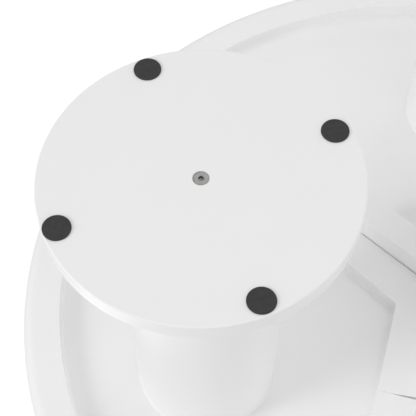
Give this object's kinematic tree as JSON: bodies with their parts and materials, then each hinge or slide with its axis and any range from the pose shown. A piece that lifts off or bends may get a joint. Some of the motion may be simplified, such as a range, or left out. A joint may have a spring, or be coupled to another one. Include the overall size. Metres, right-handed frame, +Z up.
{
  "type": "lazy susan turntable",
  "caption": "Low round white table whose top turns on a ring bearing, on three column legs with disc feet and soft pads, with a recessed, braced underside.",
  "frame": {"origin": "on the floor under the middle of the top, where the top's turning axis meets the plane of the foot pads", "axes": "+Z up along the turning axis; leg 1 stands on the -X side and legs 2 and 3 follow clockwise seen from above"},
  "size_m": [0.8399, 0.84, 0.3725],
  "materials": {
    "white_lacquer": "satin white lacquer on fibreboard",
    "top_lacquer": "satin white lacquer on fibreboard, slightly smoother",
    "raw_board": "bare fibreboard",
    "pad_rubber": "matt dark grey rubber",
    "zinc_steel": "zinc plated",
    "brass_insert": "plain",
    "race_aluminium": "satin extruded",
    "cage_nylon": "natural",
    "ball_steel": "polished"
  },
  "bodies": {
    "underframe": {"foot_pads_1": "pad_rubber", "foot_pads_2": "pad_rubber", "foot_pads_3": "pad_rubber", "foot_disc_1": "white_lacquer", "foot_disc_2": "white_lacquer", "foot_disc_3": "white_lacquer", "foot_screw_1": "zinc_steel", "foot_screw_2": "zinc_steel", "foot_screw_3": "zinc_steel", "foot_insert_1": "brass_insert", "foot_insert_2": "brass_insert", "foot_insert_3": "brass_insert", "foot_plug_1": "raw_board", "foot_plug_2": "raw_board", "foot_plug_3": "raw_board", "column_1": "white_lacquer", "column_2": "white_lacquer", "column_3": "white_lacquer", "head_plug_1": "raw_board", "head_plug_2": "raw_board", "head_plug_3": "raw_board", "column_screws_1": "zinc_steel", "column_screws_2": "zinc_steel", "column_screws_3": "zinc_steel", "rim_ring": "white_lacquer", "brace_board_1": "white_lacquer", "brace_board_2": "white_lacquer", "brace_board_3": "white_lacquer", "brace_spoke_1": "white_lacquer", "brace_spoke_2": "white_lacquer", "brace_spoke_3": "white_lacquer", "deck_panel": "white_lacquer", "deck_screws": "zinc_steel", "inner_race": "race_aluminium", "inner_race_screws": "zinc_steel"},
    "ball_ring": {"ball_cage": "cage_nylon", "bearing_balls": "ball_steel"},
    "top": {"outer_race": "race_aluminium", "outer_race_screws": "zinc_steel", "turning_top": "top_lacquer"}
  },
  "joints": [
    {"name": "top_spin", "type": "hinge", "parent": "underframe", "child": "top", "pos_m": [0, 0, 0.348], "axis": [0, 0, 1], "continuous": true},
    {"name": "cage_spin", "type": "hinge", "parent": "underframe", "child": "ball_ring", "pos_m": [0, 0, 0.348], "axis": [0, 0, 1], "continuous": true}
  ],
  "couplings": [
    {"joint": "cage_spin", "follows": "top_spin", "ratio": 0.5}
  ]
}
